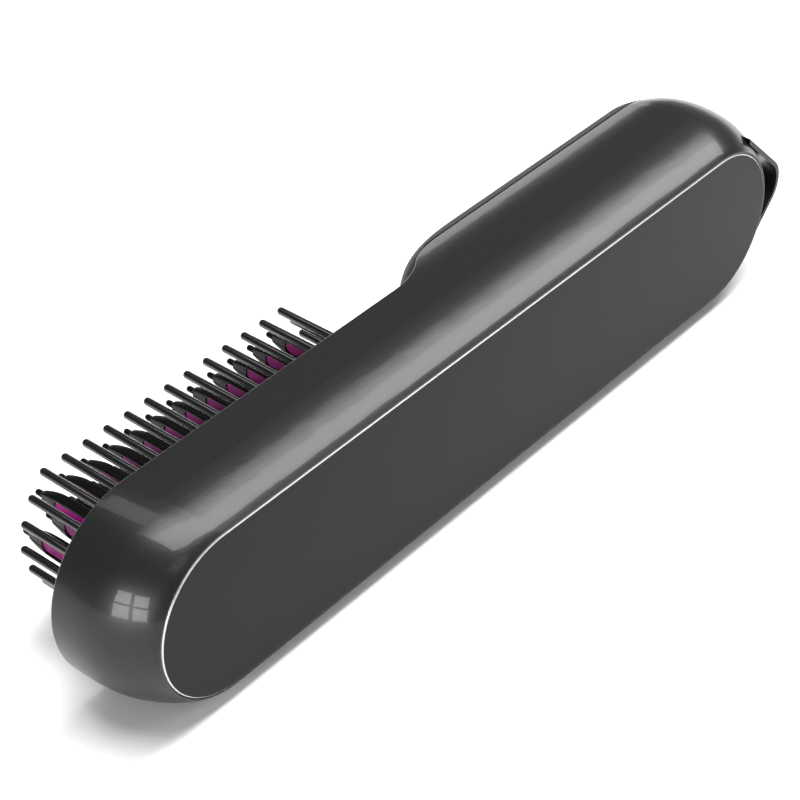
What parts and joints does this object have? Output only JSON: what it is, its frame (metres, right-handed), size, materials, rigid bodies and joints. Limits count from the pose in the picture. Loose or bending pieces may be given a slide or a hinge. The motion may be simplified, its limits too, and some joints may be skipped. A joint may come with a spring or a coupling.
{
  "type": "cordless hot comb",
  "caption": "Cordless heated comb: stadium body with a flat back, heated fins under scald caps inside a ring of bristle pins, two buttons, display, charging port and hanging loop.",
  "frame": {"origin": "centre of the flat back face", "axes": "+X from the head to the tail, +Y from the back towards the teeth, +Z across the comb, which lies on its side"},
  "size_m": [0.1998, 0.0446, 0.0426],
  "materials": {
    "shell_metallic": "gunmetal metallic paint, satin gloss",
    "panel_metallic": "gunmetal metallic paint, satin gloss",
    "cover_black": "black, satin gloss",
    "frame_black": "black, fine texture",
    "pin_black": "black nylon, satin",
    "cap_black": "black heat-resistant plastic, satin",
    "fin_purple": "purple ceramic coating, glossy",
    "plate_purple": "purple ceramic coating, satin",
    "loop_black": "black, glossy",
    "gasket_silicone": "white silicone",
    "heater_ceramic": "white alumina",
    "spring_steel": "satin",
    "screw_steel": "zinc plated",
    "sensor_epoxy": "black epoxy",
    "fuse_metal": "tinned",
    "shield_foil": "bare sheet",
    "cell_sleeve": "blue shrink sleeve over the can",
    "cradle_plastic": "moulded",
    "nickel": "nickel strip",
    "foam": "dark foam",
    "board_green": "green solder mask",
    "parts_dark": "moulded packages",
    "switch_dark": "moulded",
    "button_grey": "dark grey, satin gloss",
    "plunger_white": "natural",
    "display_white": "light reflector",
    "window_smoke": "smoked, glossy",
    "pipe_clear": "frosted",
    "socket_steel": "drawn steel",
    "tongue_black": "moulded",
    "lead_red": "silicone sleeve",
    "lead_black": "silicone sleeve"
  },
  "bodies": {
    "comb_body": {"back_shell": "shell_metallic", "back_panel": "panel_metallic", "front_cover": "cover_black", "comb_frame": "frame_black", "bristle_pins": "pin_black", "heat_fins": "fin_purple", "scald_caps": "cap_black", "hanging_loop": "loop_black", "heating_plate": "plate_purple", "plate_gasket": "gasket_silicone", "ceramic_heaters": "heater_ceramic", "heater_clamp": "spring_steel", "clamp_screws": "screw_steel", "plate_screws": "screw_steel", "thermistor": "sensor_epoxy", "thermal_fuse": "fuse_metal", "heat_shield": "shield_foil", "battery_cells": "cell_sleeve", "battery_cradle": "cradle_plastic", "battery_tabs": "nickel", "battery_pad": "foam", "main_board": "board_green", "board_parts": "parts_dark", "board_screws": "screw_steel", "tact_switches": "switch_dark", "display_module": "display_white", "display_window": "window_smoke", "light_pipes": "pipe_clear", "charge_board": "board_green", "usb_socket": "socket_steel", "usb_tongue": "tongue_black", "heater_leads": "lead_red", "charge_leads": "lead_black", "case_screws": "screw_steel"},
    "power_button_body": {"power_button": "button_grey", "power_plunger": "plunger_white"},
    "temp_button_body": {"temp_button": "button_grey", "temp_plunger": "plunger_white"}
  },
  "joints": [
    {"name": "power_button_press", "type": "slide", "parent": "comb_body", "child": "power_button_body", "axis": [0, -1, 0], "range_m": [0, 0.0006], "stiffness_N_per_m": 900},
    {"name": "temp_button_press", "type": "slide", "parent": "comb_body", "child": "temp_button_body", "axis": [0, -1, 0], "range_m": [0, 0.0006], "stiffness_N_per_m": 900}
  ]
}
